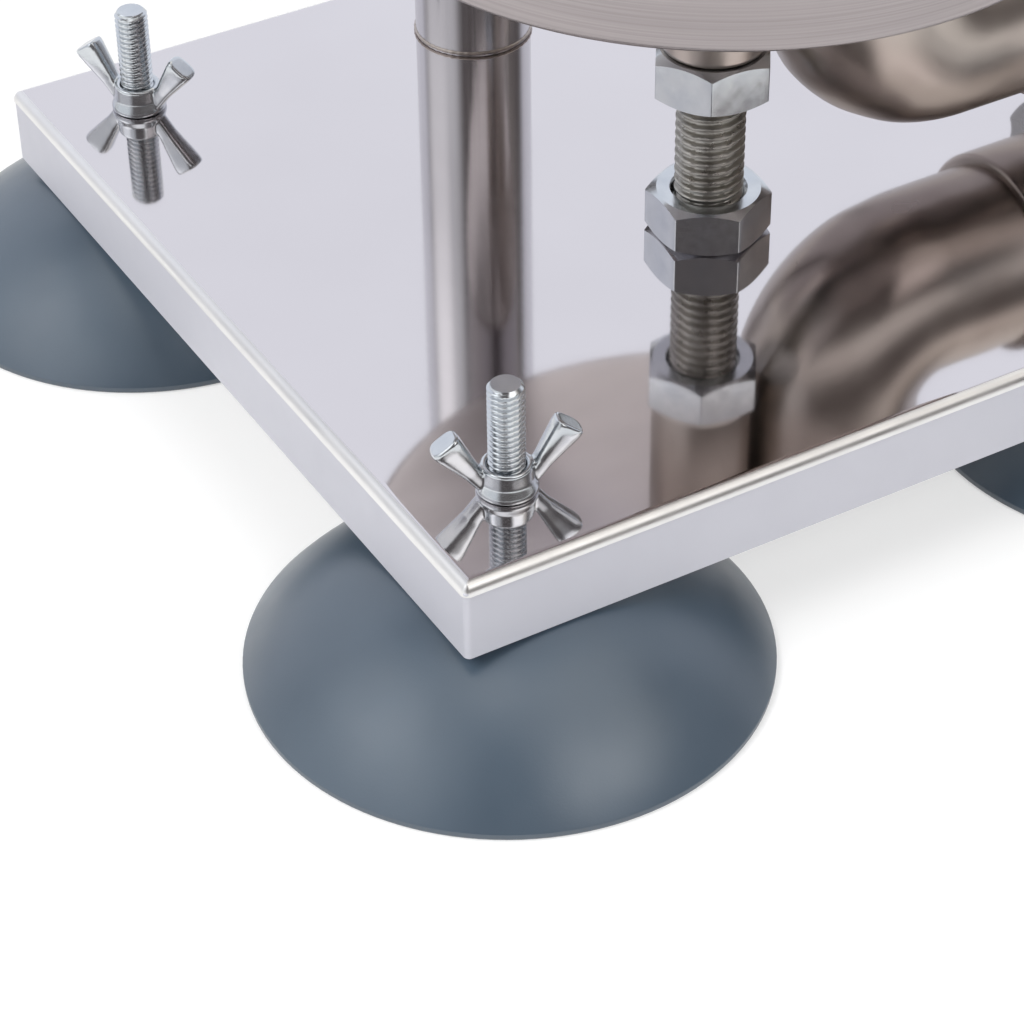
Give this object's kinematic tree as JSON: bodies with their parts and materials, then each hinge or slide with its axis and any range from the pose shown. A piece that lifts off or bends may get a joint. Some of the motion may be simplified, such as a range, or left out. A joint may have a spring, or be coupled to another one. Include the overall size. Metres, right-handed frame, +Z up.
{
  "type": "vertical sausage stuffer",
  "caption": "Hand-cranked vertical sausage stuffer: upright cylinder on a square pan with suction feet, a rear column with a rack-and-pinion gear head, and a side filling tube.",
  "frame": {"origin": "on the bench, under the middle of the square pan, between the four suction cups", "axes": "+X along the filling tube, +Y from the cylinder to the column, +Z up"},
  "size_m": [0.3399, 0.2204, 0.5922],
  "materials": {
    "polished_steel": "mirror polished stainless steel",
    "brushed_steel": "brushed stainless steel",
    "zinc_steel": "bright zinc plated steel",
    "spring_steel": "blackened spring steel",
    "cup_rubber": "satin blue-grey rubber",
    "seal_silicone": "white silicone",
    "white_nylon": "white nylon",
    "black_plastic": "black moulded plastic",
    "bush_bronze": "sintered bronze"
  },
  "bodies": {
    "frame": {"base_pan": "polished_steel", "cup_front_left": "cup_rubber", "cup_front_right": "cup_rubber", "cup_rear_left": "cup_rubber", "cup_rear_right": "cup_rubber", "foot_studs": "zinc_steel", "column": "polished_steel", "column_plug": "zinc_steel", "column_bolt": "zinc_steel", "column_washer": "zinc_steel", "cylinder": "brushed_steel", "support_post": "polished_steel", "support_stud": "zinc_steel", "support_nuts": "zinc_steel", "outlet_elbow": "brushed_steel", "outlet_ferrule": "brushed_steel", "outlet_gasket": "seal_silicone", "filling_tube": "brushed_steel", "holder_bracket": "brushed_steel", "holder_bolt": "zinc_steel", "holder_nut": "zinc_steel", "head_frame": "brushed_steel", "head_cover": "brushed_steel", "cover_screws": "zinc_steel", "cheek_screws": "zinc_steel", "column_socket": "brushed_steel", "grub_screws": "zinc_steel", "rack_guide": "white_nylon", "shaft_bushes": "bush_bronze"},
    "crank": {"crank_shaft": "zinc_steel", "drive_pinion": "zinc_steel", "crank_clip": "spring_steel", "crank_arm": "brushed_steel", "crank_nut": "zinc_steel", "grip_bolt": "zinc_steel"},
    "grip": {"crank_grip": "black_plastic"},
    "layshaft": {"layshaft": "zinc_steel", "reduction_gear": "zinc_steel", "rack_pinion": "zinc_steel", "layshaft_clips": "spring_steel"},
    "piston": {"rack": "brushed_steel", "rack_cap": "black_plastic", "piston_plate": "brushed_steel", "piston_seal": "seal_silicone", "hub_pin": "zinc_steel"},
    "vent": {"vent_valve": "white_nylon"},
    "union_nut": {"union_nut": "brushed_steel"},
    "wing_nut_front_left": {"wing_nut_front_left": "zinc_steel"},
    "wing_nut_front_right": {"wing_nut_front_right": "zinc_steel"},
    "wing_nut_rear_left": {"wing_nut_rear_left": "zinc_steel"},
    "wing_nut_rear_right": {"wing_nut_rear_right": "zinc_steel"}
  },
  "joints": [
    {"name": "crank_turn", "type": "hinge", "parent": "frame", "child": "crank", "pos_m": [0, 0.0294, 0.3832], "axis": [-1, 0, 0], "range_deg": [-511.5, 1652.3]},
    {"name": "layshaft_turn", "type": "hinge", "parent": "frame", "child": "layshaft", "pos_m": [0, -0.0021, 0.3832], "axis": [-1, 0, 0], "range_deg": [-661, 205]},
    {"name": "piston_slide", "type": "slide", "parent": "frame", "child": "piston", "axis": [0, 0, 1], "range_m": [-0.1615, 0.05]},
    {"name": "grip_spin", "type": "hinge", "parent": "crank", "child": "grip", "pos_m": [0.1187, 0.0294, 0.2732], "axis": [1, 0, 0], "continuous": true},
    {"name": "vent_lift", "type": "slide", "parent": "piston", "child": "vent", "axis": [0, 0, 1], "range_m": [0, 0.003]},
    {"name": "union_nut_turn", "type": "hinge", "parent": "frame", "child": "union_nut", "pos_m": [0.0921, -0.0215, 0.0618], "axis": [1, 0, 0], "continuous": true},
    {"name": "wing_nut_front_left_turn", "type": "hinge", "parent": "frame", "child": "wing_nut_front_left", "pos_m": [-0.067, -0.067, 0.04], "axis": [0, 0, 1], "continuous": true},
    {"name": "wing_nut_front_right_turn", "type": "hinge", "parent": "frame", "child": "wing_nut_front_right", "pos_m": [0.067, -0.067, 0.04], "axis": [0, 0, 1], "continuous": true},
    {"name": "wing_nut_rear_left_turn", "type": "hinge", "parent": "frame", "child": "wing_nut_rear_left", "pos_m": [-0.067, 0.067, 0.04], "axis": [0, 0, 1], "continuous": true},
    {"name": "wing_nut_rear_right_turn", "type": "hinge", "parent": "frame", "child": "wing_nut_rear_right", "pos_m": [0.067, 0.067, 0.04], "axis": [0, 0, 1], "continuous": true}
  ],
  "couplings": [
    {"joint": "layshaft_turn", "follows": "crank_turn", "ratio": -0.4},
    {"joint": "piston_slide", "follows": "crank_turn", "m_per_rad": -0.0056}
  ]
}
